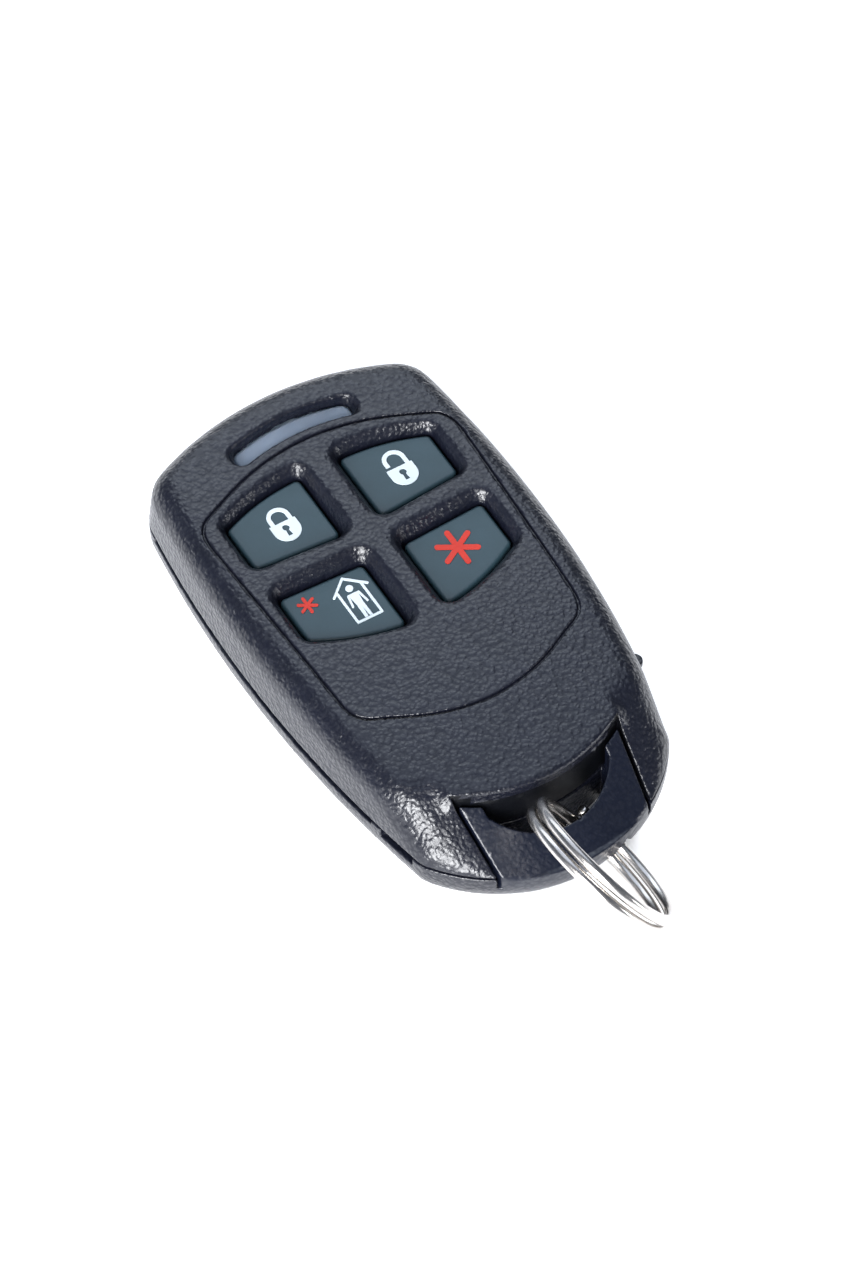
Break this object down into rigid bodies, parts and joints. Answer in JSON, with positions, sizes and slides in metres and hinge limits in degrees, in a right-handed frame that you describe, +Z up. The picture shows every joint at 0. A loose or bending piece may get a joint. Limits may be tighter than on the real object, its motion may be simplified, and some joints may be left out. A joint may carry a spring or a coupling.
{
  "type": "alarm key fob",
  "caption": "Hand-held alarm key fob: a snapped grained plastic case with recessed push keys, a signal lamp bar and a split key ring on the bail at its nose.",
  "frame": {"origin": "middle of the flat back face, below the mid length of the case", "axes": "+X to the right across the fob, +Y along it towards the signal lamp, +Z up out of the front face"},
  "size_m": [0.0392, 0.0832, 0.0175],
  "materials": {
    "case_plastic": "leather grain",
    "lens_plastic": "frosted",
    "key_rubber": "satin",
    "base_rubber": "matte",
    "carbon": "matte",
    "white_print": "printed",
    "red_print": "printed",
    "board": "solder mask",
    "plating": "plated",
    "chip_plastic": "moulded",
    "steel": "satin",
    "led_plastic": "clear",
    "nickel": "polished"
  },
  "bodies": {
    "case": {"front_housing": "case_plastic", "back_housing": "case_plastic", "led_lens": "lens_plastic", "keypad_mat": "base_rubber", "web_lock": "base_rubber", "web_unlock": "base_rubber", "web_home": "base_rubber", "web_star": "base_rubber", "circuit_board": "board", "contact_pads": "plating", "antenna_loop": "plating", "encoder_chip": "chip_plastic", "saw_resonator": "steel", "chip_parts": "chip_plastic", "status_led": "led_plastic", "coin_cell": "steel", "battery_clip": "steel", "cell_contact": "plating"},
    "lock_key": {"key_lock": "key_rubber", "pill_lock": "carbon", "mark_lock": "white_print"},
    "unlock_key": {"key_unlock": "key_rubber", "pill_unlock": "carbon", "mark_unlock": "white_print"},
    "home_key": {"key_home": "key_rubber", "pill_home": "carbon", "mark_home": "white_print", "mark_home_star": "red_print"},
    "star_key": {"key_star": "key_rubber", "pill_star": "carbon", "mark_star": "red_print"},
    "ring": {"key_ring": "nickel"}
  },
  "joints": [
    {"name": "lock_press", "type": "slide", "parent": "case", "child": "lock_key", "axis": [0, 0, -1], "range_m": [0, 0.00075], "stiffness_N_per_m": 2000, "deforming": ["web_lock"]},
    {"name": "unlock_press", "type": "slide", "parent": "case", "child": "unlock_key", "axis": [0, 0, -1], "range_m": [0, 0.00075], "stiffness_N_per_m": 2000, "deforming": ["web_unlock"]},
    {"name": "home_press", "type": "slide", "parent": "case", "child": "home_key", "axis": [0, 0, -1], "range_m": [0, 0.00075], "stiffness_N_per_m": 2000, "deforming": ["web_home"]},
    {"name": "star_press", "type": "slide", "parent": "case", "child": "star_key", "axis": [0, 0, -1], "range_m": [0, 0.00075], "stiffness_N_per_m": 2000, "deforming": ["web_star"]},
    {"name": "ring_swing", "type": "hinge", "parent": "case", "child": "ring", "pos_m": [0, -0.0305, 0.0074], "axis": [1, 0, 0], "range_deg": [0, 55]}
  ]
}
